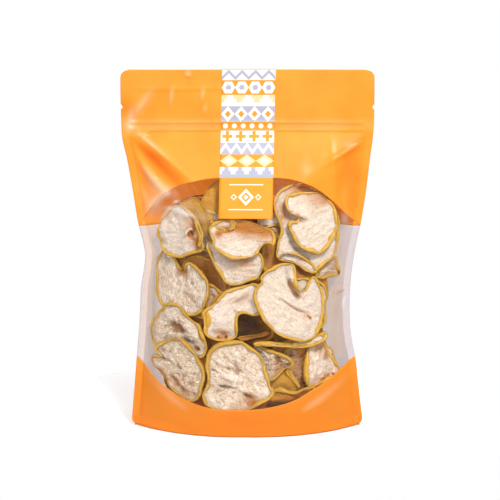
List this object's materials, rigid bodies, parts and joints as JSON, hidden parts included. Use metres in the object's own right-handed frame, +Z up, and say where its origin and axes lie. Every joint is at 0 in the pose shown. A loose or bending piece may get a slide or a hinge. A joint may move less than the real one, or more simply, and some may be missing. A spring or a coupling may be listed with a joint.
{
  "type": "stand-up pouch of dried pear slices",
  "caption": "Filled stand-up zip pouch with side seals, a bottom gusset, a large clear front window over dried pear slices, and a narrow label folded over its top edge.",
  "frame": {"origin": "on the table under the middle of the pouch's overall box", "axes": "+Z up, along the standing pouch to its sealed top edge; -Y to the front with the window and the label; +X to the right seen from the front"},
  "size_m": [0.1802, 0.0766, 0.2614],
  "materials": {
    "film_print": "orange printed plastic film with a soft sheen",
    "film_clear": "clear plastic film of the window and of the back",
    "dried_pear": "dry, finely wrinkled ivory flesh with a yellow-brown peel rim",
    "label": "smooth printed sticker"
  },
  "bodies": {
    "root": {"pouch": "film_print", "label": "label"}
  },
  "joints": []
}
